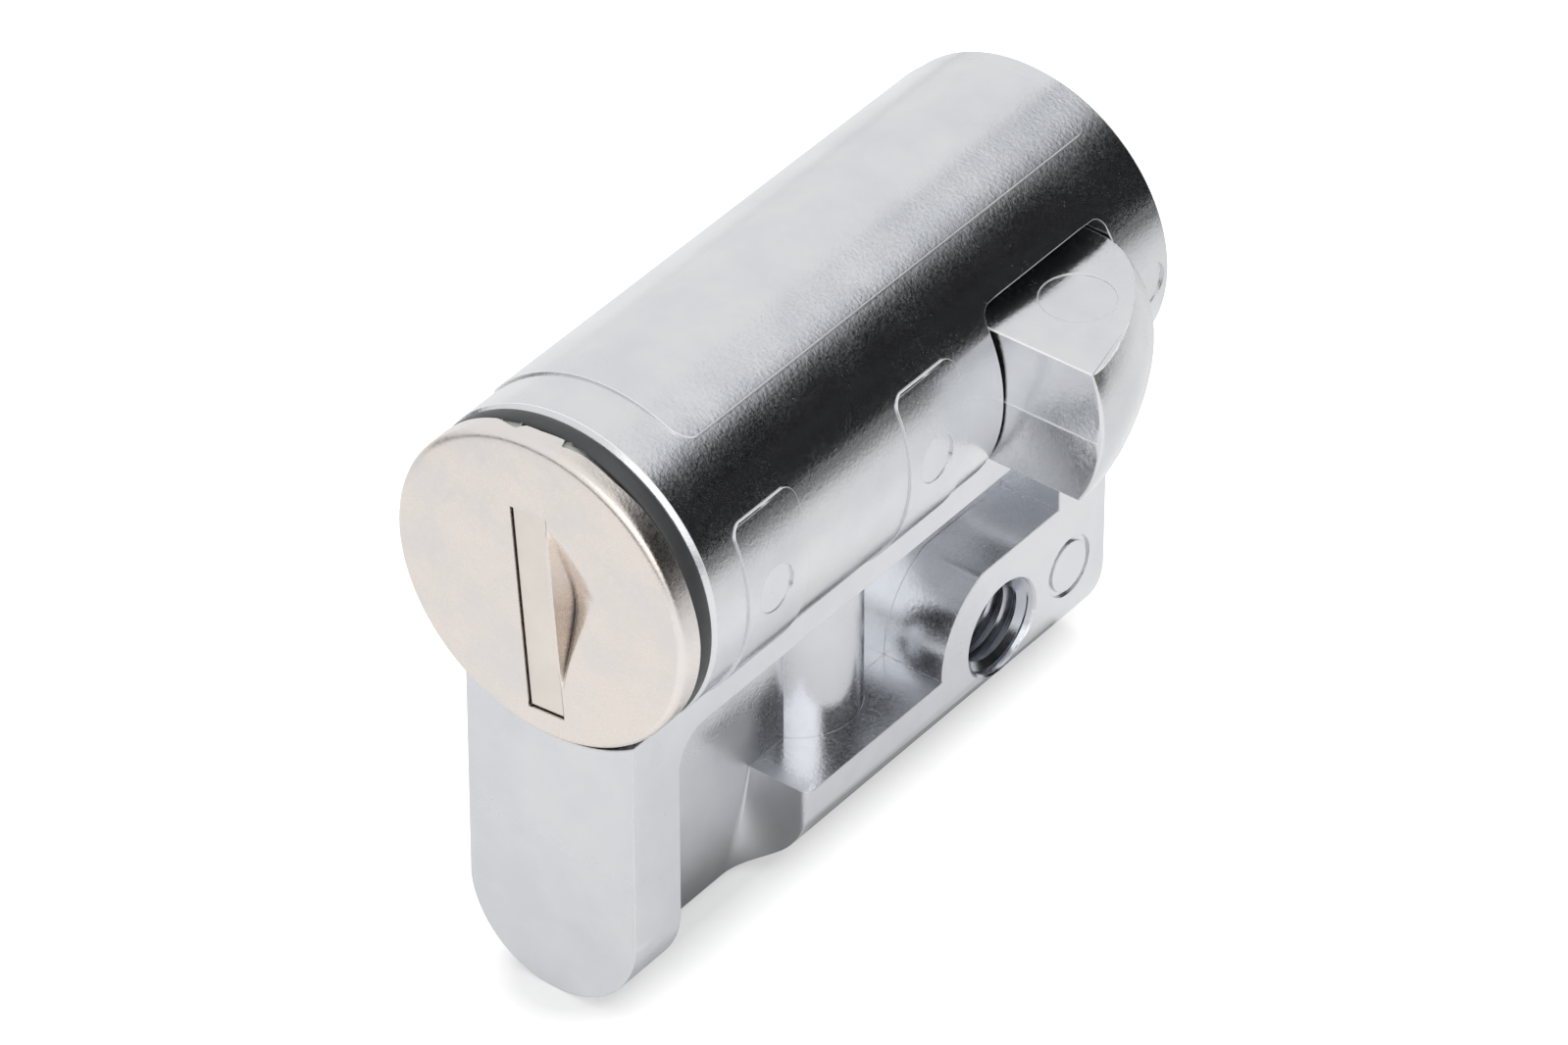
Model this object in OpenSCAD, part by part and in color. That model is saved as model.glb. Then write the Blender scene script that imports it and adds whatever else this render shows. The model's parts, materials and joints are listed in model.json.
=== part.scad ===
// Half euro profile lock cylinder, about 38 mm long.
// Written about the plug: the plug turns on the Y axis, its face looks along -Y,
// the cam reaches out along +X and +Z is up. The last step of each piece moves it
// so that the origin is the middle of the fixing screw's hole.
// All sizes are in millimetres.

/* [Case profile] */
// Radius of the round barrel
barrel_r = 8.5; // [8.3:0.1:9.5]
// Height of the profile, from the barrel's top to the web's bottom
profile_h = 33; // [31:0.5:36]
// Thickness of the web that hangs under the barrel
web_w = 10; // [9:0.1:11]
// Length of the case in front of the cam's space
front_len = 23.95; // [23.5:0.05:30]
// Wall behind the cam's space
rear_wall = 3.85; // [3.6:0.05:6]
// Wall of the barrel about the plug
barrel_wall = 1.45; // [1.3:0.05:1.7]
// How far the barrel's front edge stands behind the web's front face
barrel_setback = 1.75; // [1.6:0.05:3]
// Rounding on the barrel's two edges
barrel_edge = 0.25; // [0.1:0.05:0.4]
// Gap round the face cap in the scoop above the web's front end
scoop_gap = 0.38; // [0.3:0.01:0.7]

/* [Cast pads and marks] */
// How far the cast pads stand up from the barrel
pad_rise = 0.11; // [0.05:0.01:0.25]
// Front end of the long top pad
top_pad_front = 4.8; // [4:0.1:6]
// Plain collar left behind the top pad
rear_collar = 1.2; // [0.8:0.1:2]
// Edge of the top pad towards the cam
top_pad_right = 4.45; // [3.5:0.05:5.5]
// Edge of the top pad away from the cam
top_pad_left = 7.4; // [6:0.1:7.9]
// Corner radius of the top pad
top_pad_corner = 1; // [0.5:0.1:2]
// Middle of each side pad along the barrel
side_pads = [6.5, 18.8]; // middles, front to rear
// Width of a side pad
side_pad_w = 4.5; // [3:0.1:6]
// Upper edge of a side pad above the plug's axis
side_pad_top = 4.25; // [3:0.05:5]
// Corner radius of a side pad
side_pad_corner = 0.7; // [0.3:0.1:1.5]
// Middles of the ejector pin marks on the side pads
side_marks = [6.3, 18.6]; // middles, front to rear
// Middle of the rear ejector pin mark, ahead of the case's rear face
rear_mark = 1.8; // [1.5:0.1:2.2]
// Radius of an ejector pin mark on the barrel
side_mark_r = 1.26; // [0.8:0.02:1.6]
// Depth of an ejector pin mark
mark_depth = 0.14; // [0.1:0.01:0.3]
// Middle of the ring-shaped mark on the web, ahead of the case's rear face
ring_mark_back = 2.9; // [2:0.1:3.4]
// Height of the ring-shaped mark over the fixing hole
ring_mark_up = 0.5; // [-2:0.1:2]
// Outer radius of the ring-shaped mark
ring_mark_r = 1.7; // [1.2:0.1:2]
// Width of the ring in the ring-shaped mark
ring_mark_w = 0.3; // [0.2:0.05:0.5]

/* [Web pockets] */
// Wall left between the two web pockets
pocket_wall = 2.84; // [2.4:0.02:4]
// Full-width band left under the barrel
band_h = 2.18; // [1.5:0.02:4]
// Front plate of the web, in front of the pockets
front_plate = 3.47; // [3:0.05:5]
// Rounding in the pocket's upper front corner
pocket_corner = 2; // [1:0.1:3]
// Rounding in the pocket's upper rear corner
pocket_rear_corner = 1.2; // [0.6:0.1:2]
// Length of the open front pocket, up to the bottom rail
open_pocket = 9.85; // [8:0.05:12]
// Height of the bottom rail
rail_h = 5.63; // [5:0.05:7]
// Rounding on the front outer corner of the bottom rail
rail_nose = 0.5; // [0.3:0.1:1.4]
// Rounding between the middle wall and the front of the bottom rail
rail_root = 2.1; // [1:0.1:2.4]
// Radius of the round post that carries the retaining pin
post_r = 3.25; // [2.8:0.05:4]

/* [Fixing hole] */
// Middle of the fixing hole behind the web's front face
hole_y = 29; // [28:0.1:30]
// Depth of the fixing hole's middle below the plug's axis
hole_drop = 18.7; // [17.5:0.1:19]
// Wall radius of the tapped fixing hole
hole_r = 2.1; // [2:0.05:2.3]
// Radius at the mouth of the fixing hole's chamfer
hole_mouth_r = 2.8; // [2.6:0.05:3.1]
// Radius of the round boss about the fixing hole
boss_r = 4.9; // [4.4:0.05:5.2]
// Height of the boss's flat top over the hole's middle
boss_top = 4.6; // [4:0.05:4.8]

/* [Cam space] */
// Length of the space in which the cam turns
cam_gap_w = 9.6; // [9:0.05:10]
// Upper edge of the cam window above the plug's axis
window_top = 4.82; // [4.7:0.02:5.2]
// Lower edge of the cam window below the plug's axis
window_bottom = 6.7; // [6.6:0.05:6.85]
// Corner radius on the window's upper corners
window_corner = 0.7; // [0.4:0.1:0.9]

/* [Plug] */
// Front face of the plug's head, ahead of the web's front face
head_front = 0.32; // [0.2:0.02:0.5]
// Thickness of the plug's head
head_t = 0.94; // [0.92:0.01:1]
// Chamfer on the head's front edge
head_chamfer = 0.3; // [0.2:0.05:0.5]
// Radius of the hub seat behind the plug's body
hub_seat_r = 4.6; // [4:0.1:4.7]
// Radius of the tail that drives the cam
tail_r = 3; // [2.8:0.05:3.2]
// Distance from the tail's middle to each of its two flats
tail_flat = 2.3; // [2.1:0.05:2.5]
// Radius of the tail's rear journal
journal_r = 2.6; // [2.4:0.05:2.7]
// Depth of the groove that the retaining pin holds
groove_depth = 0.8; // [0.6:0.05:1]

/* [Key slot] */
// Lean of the key slot, its top away from the cam, in degrees
slot_lean = 4.5; // [0:0.5:8]
// Width of the key slot
slot_w = 2.15; // [1.9:0.05:2.3]
// Middle of the key slot beside the plug's axis
slot_shift = 0.19; // [0.1:0.01:0.4]
// Upper end of the key slot above the plug's axis
slot_top = 4.38; // [3.8:0.02:4.4]
// Metal left in the face cap below the key slot
slot_rim = 1.41; // [1.25:0.01:1.5]
// Depth of the key way behind the web's front face
key_way_depth = 17.2; // [17:0.1:17.5]

/* [Face cap and seal] */
// How far the face cap stays inside the barrel's outline
cap_inset = 0.03; // [0:0.01:0.2]
// Thickness of the cap's sheet
cap_t = 0.3; // [0.2:0.02:0.32]
// Rounding on the cap's front edge
cap_edge = 0.4; // [0.35:0.05:0.6]
// Length of the cap's rim behind its back face
cap_rim = 0.98; // [0.9:0.01:1]
// Places of the two notches in the rim, in degrees above the cam's side
cap_notches = [83.5, 103]; // degrees
// Width of each notch in the rim
notch_w = 0.55; // [0.3:0.05:1]
// Depth of each notch in the rim
notch_depth = 0.42; // [0.3:0.02:0.5]
// How far the seal ring stays inside the barrel's outline
seal_inset = 0.08; // [0:0.01:0.2]
// Thickness of the seal ring
seal_t = 1.03; // [0.8:0.01:1.03]

/* [Finger scoop] */
// Depth of the scoop's bottom line in the face cap, at the key slot's edge
dish_depth = 0.9; // [0.6:0.05:1.2]
// Radius of the scoop's rounded bottom
dish_r = 7.1; // [6:0.1:8]
// Distance from the key slot's edge to the end of the scoop's bottom line
dish_reach = 1.5; // [1.2:0.1:2]
// Height of the scoop's bottom line above the plug's axis, at the key slot's edge
dish_z = 1.8; // [1.2:0.1:2.2]
// Rise of the scoop's bottom line from the key slot's edge to its end
dish_rise = 1.2; // [0.8:0.1:1.5]

/* [Shutter] */
// Thickness of the shutter's sheet
flap_t = 0.35; // [0.3:0.01:0.4]
// Gap between the face cap and the shutter's leaf
flap_gap = 0.1; // [0.06:0.02:0.14]
// Depth of the shutter's raised face behind the cap's front
face_sunk = 0.15; // [0.1:0.01:0.25]
// Gap between the shutter's free edge and the key slot
free_gap = 0.15; // [0.12:0.01:0.25]
// Reach of the flange at the shutter's free edge behind the web's front face
flange_back = 1.5; // [1.3:0.05:1.6]
// Lower end of the flange below the plug's axis
flange_low = 5.4; // [4.8:0.1:5.6]
// Upper end of the flange above the plug's axis
flange_top = 3.8; // [3.4:0.1:4]
// Outer radius of the shutter's knuckle
knuckle_r = 0.5; // [0.46:0.02:0.54]
// Radius of the shutter's pin
shutter_pin_r = 0.3; // [0.26:0.01:0.32]
// Middle of the shutter's pin beside the key slot's edge
hinge_aside = 0.8; // [0.76:0.01:0.85]
// Lower end of the shutter's knuckle below the plug's axis
knuckle_low = 6.2; // [5.8:0.1:6.3]
// Upper end of the shutter's knuckle above the plug's axis
knuckle_top = 2; // [1.5:0.1:2.2]
// Turns in the shutter's spring
shutter_turns = 3; // [2:1:3]
// Wire radius of the shutter's spring
shutter_wire_r = 0.08; // [0.06:0.01:0.09]
// Length of the shutter pin's seat at its lower end
pin_seat_low = 0.35; // [0.3:0.05:0.4]
// Length of the shutter pin's seat at its upper end
pin_seat_high = 1; // [0.6:0.1:1.4]
// Depth of the ring-shaped room for the open shutter in the mouth of the case's bore
mouth_groove = 0.7; // [0.6:0.05:0.72]

/* [Wafers] */
// Number of wafers
wafer_n = 6; // [4:1:6]
// Middle of the first wafer behind the web's front face
wafer_first = 5.3; // [5.2:0.05:5.5]
// Distance from wafer to wafer
wafer_pitch = 2.15; // [2.1:0.01:2.2]
// Thickness of a wafer
wafer_t = 1.4; // [1.2:0.05:1.5]
// Half of a wafer's width
wafer_half = 3.7; // [3.5:0.05:3.8]
// Depth of a wafer's two rounded ends inside the plug's outline
wafer_inset = 0.5; // [0.46:0.02:0.6]
// How far a wafer slides
wafer_travel = 0.4; // [0.3:0.05:0.45]
// Thickness of the wafer's bar above and below the key
wafer_bar = 1.3; // [1.1:0.05:1.5]
// Reach of the wafer's spring lug beyond its side
lug_reach = 1.7; // [1.6:0.05:1.8]
// Height of the wafer's spring lug
lug_h = 1.2; // [1:0.05:1.4]
// Lower face of the spring lug above the plug's axis
lug_low = 0.6; // [0.5:0.05:0.8]
// Height of a wafer spring
spring_h = 3.1; // [3:0.05:3.3]
// Turns in a wafer spring
spring_turns = 3; // [3:1:4]
// Radius of a wafer spring, to the middle of its wire
spring_r = 0.5; // [0.45:0.01:0.52]
// Wire radius of a wafer spring
spring_wire_r = 0.11; // [0.08:0.01:0.12]
// Depth of the two grooves for the wafers in the case's bore
wafer_groove = 0.65; // [0.5:0.05:0.7]

/* [Cam] */
// Radius of the cam's hub
hub_r = 4.7; // [4.5:0.05:4.75]
// Upper flank of the cam's lug above the plug's axis
cam_top = 3.76; // [3.5:0.01:3.8]
// Lower flank of the cam's lug below the plug's axis
cam_bottom = 4; // [3.5:0.05:4.1]
// Greatest reach of the cam's lug from the plug's axis
cam_reach = 14.2; // [13.5:0.05:15]
// Length of the lug's full reach, from its front face
cam_full = 0.9; // [0.6:0.1:2]
// Reach of the cam's lug at its rear face
cam_rear_reach = 9.85; // [9:0.05:10.5]
// How full the lug's rounded back is, 2 being an ellipse
cam_power = 1.42; // [1.3:0.02:3]
// Fall of the lug's front face from its middle crease to its flanks
cam_crease = 0.16; // [0.05:0.01:0.2]
// Rounding on the lug's front tip
cam_tip_edge = 0.4; // [0.1:0.05:0.5]
// Middle of the lug's rounded end, beside the plug's axis
cam_round_x = 6.5; // [5:0.1:7]
// Middle of the lug's rounded end, above the plug's axis
cam_round_z = 0.4; // [0:0.1:0.6]
// Middle of the ejector pin mark on the lug's upper flank, beside the plug's axis
cam_mark_x = 9.25; // [8:0.05:10]
// Middle of the ejector pin mark behind the lug's front face
cam_mark_y = 4.65; // [3:0.05:6]
// Radius of the ejector pin mark on the lug
cam_mark_r = 1.9; // [1:0.1:2]
// Depth of the ejector pin mark on the lug
cam_mark_depth = 0.05; // [0.04:0.01:0.1]

/* [Fasteners] */
// Radius of the retaining pin
pin_r = 1.25; // [1.15:0.05:1.3]
// Middle of the retaining pin behind the web's front face
pin_y = 19; // [18.9:0.05:19.3]
// Depth of the pin's lower end inside the web's bottom
pin_sunk = 0.3; // [0.1:0.05:0.6]
// Radius of the counterbore in the case's rear face
counterbore_r = 3.75; // [3.6:0.05:4]
// Depth of the counterbore in the case's rear face
counterbore_depth = 2.45; // [2.3:0.05:2.6]
// Outer radius of the washer under the cam screw
washer_r = 3.4; // [3.2:0.05:3.5]
// Thickness of the washer
washer_t = 0.5; // [0.4:0.05:0.6]
// Radius of the cam screw's shank
screw_r = 1.5; // [1.3:0.05:1.6]
// Length of the cam screw's shank inside the tail
screw_grip = 6.5; // [5:0.1:8]
// Radius of the cam screw's head
screw_head_r = 2.7; // [2.5:0.05:2.9]
// Height of the cam screw's head
screw_head_h = 1.5; // [1.3:0.05:1.6]
// Width of each arm of the screw's cross recess
recess_w = 0.7; // [0.5:0.05:0.8]
// Length of each arm of the screw's cross recess
recess_len = 3.4; // [3:0.1:3.8]
// Depth of the screw's cross recess
recess_depth = 0.9; // [0.6:0.05:1]

/* [Clearances] */
// Radial clearance of a shaft that turns in its hole
turn_fit = 0.05; // [0.03:0.01:0.08]
// Clearance at each side of a piece that slides
slide_fit = 0.08; // [0.05:0.01:0.1]
// Clearance at each end of a piece that turns between two faces
end_fit = 0.1; // [0.06:0.01:0.12]
// Clearance between the cap's rim and the plug's head
rim_fit = 0.08; // [0.04:0.01:0.1]

/* [Shown] */
// Piece to build

/* [Hidden] */
$fn = 72;
past = 1;
far = 60;
coil_rings = 8;
coil_sides = 6;

bore_r = barrel_r - barrel_wall;
plug_r = bore_r - turn_fit;
cap_r = barrel_r - cap_inset;
cap_scoop_r = cap_r + scoop_gap;
head_r = cap_r - cap_t - rim_fit;
seal_r = barrel_r - seal_inset;
groove_r = plug_r - groove_depth;
wafer_groove_r = bore_r + wafer_groove;
wafer_end_r = plug_r - wafer_inset;
slot_bottom = cap_r - slot_rim;
mouth_r = bore_r + mouth_groove;
cam_gap_front = front_len;
body_len = front_len + cam_gap_w + rear_wall;
ring_mark_y = body_len - ring_mark_back;
web_half = web_w / 2;
web_bottom = barrel_r - profile_h;
web_arc_z = web_bottom + web_half;
ridge_z = -sqrt(barrel_r * barrel_r - web_half * web_half);
pocket_top = ridge_z - band_h;
rail_top = web_bottom + rail_h;
rail_front = front_plate + open_pocket;
cam_gap_rear = cam_gap_front + cam_gap_w;
boss_flat = boss_top - hole_drop;
counter_floor = body_len - counterbore_depth;
cavity_r = window_top + 0.2;

head_y = -head_front;
head_back = head_y + head_t;
cap_front = head_y - cap_t;
cap_back = head_y + cap_rim;
seal_front = barrel_setback - seal_t;
plug_back = cam_gap_front - end_fit;
cam_front = cam_gap_front + end_fit;
cam_back = cam_gap_rear - end_fit;
tail_back = counter_floor + turn_fit;
pin_top = -(groove_r + end_fit);
groove_half = pin_r + end_fit;

slot_left = -slot_shift - slot_w / 2;
slot_right = slot_left + slot_w;
flap_y = head_y + flap_gap;
face_y = cap_front + face_sunk;
face_left = slot_left + slide_fit;
flap_right = slot_right - free_gap;
flap_low = slot_bottom - slide_fit;
flap_top = slot_top - slide_fit;
hinge_x = slot_left - hinge_aside;
hinge_y = flap_y + knuckle_r;
flap_width = flap_right - hinge_x;
flange_half = flange_back - hinge_y;
sweep_r = sqrt(flap_width * flap_width + flange_half * flange_half) + end_fit;
pocket_left = hinge_x - knuckle_r - end_fit;
flange_room = hinge_x - flange_half - end_fit;
pocket_low = -slot_bottom - end_fit;
pocket_high = slot_top + 0.2;
mouth_back = hinge_y + flap_width + 2 * end_fit;
shutter_pin_low = -slot_bottom - pin_seat_low;
shutter_pin_len = pocket_high + pin_seat_high - shutter_pin_low;
shutter_coil_r = shutter_pin_r + shutter_wire_r + turn_fit;
shutter_coil_z = knuckle_top + end_fit + shutter_wire_r;
shutter_coil_h = pocket_high - end_fit - shutter_wire_r - shutter_coil_z;
dish_run = sqrt(dish_reach * dish_reach + dish_rise * dish_rise);

slot_half_y = wafer_t / 2 + slide_fit;
wafer_side = wafer_half + slide_fit;
lug_end = wafer_half + lug_reach;
spring_x = wafer_half + slide_fit + spring_r + spring_wire_r + turn_fit;
spring_low = lug_low - spring_h;
spring_room_low = spring_low - turn_fit;
lug_room_high = lug_low + lug_h + wafer_travel + slide_fit;

// Reach of the cam's lug at the share u of the way along its rounded back
function cam_r(u) = cam_rear_reach
    + (cam_reach - cam_rear_reach) * pow(1 - pow(u, cam_power), 1 / cam_power);
cam_steps = 14;
cam_curve_y = cam_front + cam_full;
cam_outline = concat(
    [for (a = [0:30:90]) [cam_reach - cam_round_x - cam_tip_edge + cam_tip_edge * sin(a),
        cam_front + cam_tip_edge - cam_tip_edge * cos(a)]],
    [for (i = [0:cam_steps]) [
        cam_r(sin(90 * i / cam_steps)) - cam_round_x,
        cam_curve_y + (cam_back - cam_curve_y) * sin(90 * i / cam_steps)]]);

// Points of a coil about Z, followed by a straight leg where leg is over 0
function coil_path(r, z0, h, turns, leg) = concat(
    leg > 0 ? [[-leg, r, z0]] : [],
    [for (i = [0:turns * coil_rings]) let (a = 90 + 360 * i / coil_rings) [
        r * cos(a), r * sin(a), z0 + h * i / (turns * coil_rings)]],
    leg > 0 ? [[leg, r, z0 + h]] : []);

// Least gap between one turn of a coil and the next, measured on its points
function coil_gap(path, wire) = min([
    for (i = [0:len(path) - 1 - coil_rings]) norm(path[i + coil_rings] - path[i])]) - 2 * wire;

module place() {
    translate([0, -hole_y, hole_drop]) children();
}

// The same, turned with the leaning key slot
module place_plug() {
    place() rotate([0, -slot_lean, 0]) children();
}

// A round bar on the plug's axis
module bar_y(y0, y1, r) {
    translate([0, y0, 0]) rotate([-90, 0, 0]) cylinder(h = y1 - y0, r = r);
}

// A solid of revolution about the plug's axis, drawn as radius and y
module turn_y() {
    rotate([-90, 0, 0]) rotate_extrude() children();
}

// A shape drawn in x and z, carried along y
module prism_y(y0, y1) {
    translate([0, y1, 0]) rotate([90, 0, 0]) linear_extrude(height = y1 - y0) children();
}

// A shape drawn in y and z, carried along x
module prism_x(x0, x1) {
    translate([x0, 0, 0]) rotate([90, 0, 90]) linear_extrude(height = x1 - x0) children();
}

module box2(x0, x1, y0, y1) {
    translate([x0, y0]) square([x1 - x0, y1 - y0]);
}

module box3(x0, x1, y0, y1, z0, z1) {
    translate([x0, y0, z0]) cube([x1 - x0, y1 - y0, z1 - z0]);
}

module round_rect(x0, x1, y0, y1, r) {
    box2(x0 + r, x1 - r, y0, y1);
    box2(x0, x1, y0 + r, y1 - r);
    for (cx = [x0 + r, x1 - r])
        for (cy = [y0 + r, y1 - r])
            translate([cx, cy]) circle(r = r);
}

// Metal left in a square inside corner at x, y that points along sx, sy
module inside_corner(x, y, sx, sy, r) {
    translate([x, y]) mirror([sx < 0 ? 1 : 0, 0]) mirror([0, sy < 0 ? 1 : 0])
        difference() {
            box2(-past, r, -past, r);
            translate([r, r]) circle(r = r);
            box2(r, r + past, -past, r);
        }
}

// One unbroken wire swept through the points of a path
module wire(path, wr) {
    n = len(path);
    rings = [for (i = [0:n - 1])
        let (a = path[max(i - 1, 0)], b = path[min(i + 1, n - 1)],
             t = (b - a) / norm(b - a),
             s0 = cross(t, [0, 0, 1]), s = s0 / norm(s0), u = cross(s, t))
        for (k = [0:coil_sides - 1])
            path[i] + wr * (cos(360 * k / coil_sides) * s + sin(360 * k / coil_sides) * u)];
    walls = [for (i = [0:n - 2]) for (k = [0:coil_sides - 1])
        let (k2 = (k + 1) % coil_sides, a = i * coil_sides, b = a + coil_sides)
        for (face = [[a + k, b + k, b + k2], [a + k, b + k2, a + k2]]) face];
    first = [for (k = [1:coil_sides - 2]) [0, k, k + 1]];
    e = (n - 1) * coil_sides;
    last = [for (k = [1:coil_sides - 2]) [e, e + k + 1, e + k]];
    polyhedron(points = rings, faces = concat(walls, first, last));
}

// Side view of one web pocket, drawn in y and z
module pocket_outline() {
    difference() {
        union() {
            box2(front_plate, rail_front, web_bottom - past, pocket_top);
            box2(front_plate, cam_gap_rear, rail_top, pocket_top);
        }
        intersection() {
            translate([hole_y, -hole_drop]) circle(r = boss_r);
            box2(0, body_len, web_bottom - past, boss_flat);
        }
        box2(hole_y, body_len, web_bottom - past, boss_flat);
        inside_corner(front_plate, pocket_top, 1, -1, pocket_corner);
        inside_corner(cam_gap_rear, pocket_top, -1, -1, pocket_rear_corner);
    }
}

// Rounds the outer corner at the front of the bottom rail
module rail_nose_cut() {
    translate([0, 0, web_bottom - past]) linear_extrude(height = rail_h + past)
        difference() {
            box2(web_half - rail_nose, web_half + past, rail_front - past, rail_front + rail_nose);
            translate([web_half - rail_nose, rail_front + rail_nose]) circle(r = rail_nose);
        }
}

// Metal that rounds the corner between the middle wall and the rail's front
module rail_root_fill() {
    intersection() {
        translate([0, 0, web_bottom - past]) linear_extrude(height = rail_h + past)
            inside_corner(pocket_wall / 2, rail_front, 1, -1, rail_root);
        prism_y(0, rail_front + past) case_profile();
    }
}

// Front view of the web with its round bottom
module case_profile() {
    translate([0, web_arc_z]) circle(r = web_half);
    box2(-web_half, web_half, web_arc_z, 0);
}

module case_blank() {
    turn_y() polygon([
        [0, barrel_setback],
        [barrel_r - barrel_edge, barrel_setback],
        [barrel_r, barrel_setback + barrel_edge],
        [barrel_r, body_len - barrel_edge],
        [barrel_r - barrel_edge, body_len],
        [0, body_len]]);
    difference() {
        prism_y(0, body_len) case_profile();
        bar_y(-past, barrel_setback, cap_scoop_r);
    }
}

// Shallow cast pads: one along the top, two on the cam's side
module cast_pads() {
    intersection() {
        bar_y(barrel_setback, body_len, barrel_r + pad_rise);
        union() {
            linear_extrude(height = far)
                round_rect(-top_pad_left, top_pad_right,
                    top_pad_front, body_len - rear_collar, top_pad_corner);
            for (y = side_pads)
                prism_x(web_half, far)
                    round_rect(y - side_pad_w / 2, y + side_pad_w / 2,
                        ridge_z, side_pad_top, side_pad_corner);
        }
    }
}

module cast_marks() {
    for (y = side_marks)
        translate([barrel_r + pad_rise - mark_depth, y, 0])
            rotate([0, 90, 0]) cylinder(h = past, r = side_mark_r);
    translate([barrel_r - mark_depth, body_len - rear_mark, 0])
        rotate([0, 90, 0]) cylinder(h = past, r = side_mark_r);
    translate([web_half - mark_depth, ring_mark_y, ring_mark_up - hole_drop])
        rotate([0, 90, 0]) difference() {
            cylinder(h = past, r = ring_mark_r);
            translate([0, 0, -past]) cylinder(h = 3 * past, r = ring_mark_r - ring_mark_w);
        }
}

// Bore for the plug, with two grooves for the wafers and room for the open shutter
module plug_bore() {
    bar_y(barrel_setback - past, mouth_back, mouth_r);
    bar_y(barrel_setback - past, cam_gap_front, bore_r);
    rotate([0, -slot_lean, 0])
        prism_y(wafer_first - slot_half_y, wafer_first + (wafer_n - 1) * wafer_pitch + slot_half_y)
            intersection() {
                circle(r = wafer_groove_r);
                box2(-wafer_side, wafer_side, -far, far);
            }
}

// Space for the cam, with its window to the cam's side
module cam_space() {
    bar_y(cam_gap_front - past, cam_gap_rear, cavity_r);
    prism_x(0, barrel_r + past) {
        round_rect(cam_gap_front, cam_gap_rear, -window_bottom / 2, window_top, window_corner);
        box2(cam_gap_front, cam_gap_rear, -window_bottom, 0);
    }
}

module fixing_hole() {
    translate([-far / 2, hole_y, -hole_drop]) rotate([0, 90, 0]) cylinder(h = far, r = hole_r);
    chamfer = hole_mouth_r - hole_r;
    for (side = [0, 1])
        mirror([side, 0, 0])
            translate([web_half - chamfer, hole_y, -hole_drop]) rotate([0, 90, 0])
                cylinder(h = chamfer + past, r1 = hole_r, r2 = hole_mouth_r + past);
}

module housing() {
    color([0.78, 0.79, 0.81]) place() difference() {
        union() {
            difference() {
                case_blank();
                for (side = [0, 1])
                    mirror([side, 0, 0]) {
                        prism_x(pocket_wall / 2, web_w) pocket_outline();
                        rail_nose_cut();
                    }
            }
            translate([0, pin_y, rail_top - past])
                cylinder(h = pocket_top - rail_top + 2 * past, r = post_r);
            for (side = [0, 1])
                mirror([side, 0, 0]) rail_root_fill();
            cast_pads();
        }
        cast_marks();
        plug_bore();
        cam_space();
        bar_y(cam_gap_rear - past, body_len, journal_r + turn_fit);
        bar_y(counter_floor, body_len + past, counterbore_r);
        translate([0, pin_y, web_bottom - past]) cylinder(h = -web_bottom, r = pin_r);
        fixing_hole();
    }
}

// Rubber ring between the face cap and the barrel's front
module seal_ring() {
    color([0.16, 0.16, 0.17]) place() difference() {
        bar_y(seal_front, barrel_setback, seal_r);
        bar_y(seal_front - past, barrel_setback + past, mouth_r + end_fit);
    }
}

// Cross pin that holds the plug by its groove
module retaining_pin() {
    color([0.7, 0.7, 0.68]) place()
        translate([0, pin_y, web_bottom + pin_sunk])
            cylinder(h = pin_top - web_bottom - pin_sunk, r = pin_r);
}

module wafer_slot(i) {
    turn = i % 2 == 0 ? 0 : 180;
    y = wafer_first + i * wafer_pitch;
    box3(-wafer_side, wafer_side, y - slot_half_y, y + slot_half_y, -far / 2, far / 2);
    rotate([0, turn, 0])
        box3(0, lug_end + slide_fit, y - slot_half_y, y + slot_half_y,
            spring_room_low, lug_room_high);
}

// Round-bottomed scoop beside the key slot, widened by grow
module dish(grow) {
    intersection() {
        translate([slot_right, cap_front + dish_depth, dish_z])
            rotate([0, -atan2(dish_rise, dish_reach), 0])
                rotate([0, 0, -atan2(dish_depth, dish_run)])
                    translate([-far / 2, -dish_r, 0]) rotate([0, 90, 0])
                        cylinder(h = far, r = dish_r + grow);
        box3(slot_right - free_gap, far, -far, far, -far, far);
    }
}

// Room in the plug for the shutter as it swings
module shutter_room() {
    intersection() {
        translate([hinge_x, hinge_y, pocket_low]) cylinder(h = pocket_high - pocket_low, r = sweep_r);
        union() {
            box3(pocket_left, far, head_y - past, far, -far, far);
            box3(flange_room, far, head_y - past, far, -flange_low - end_fit, flange_top + end_fit);
        }
    }
}

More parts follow.
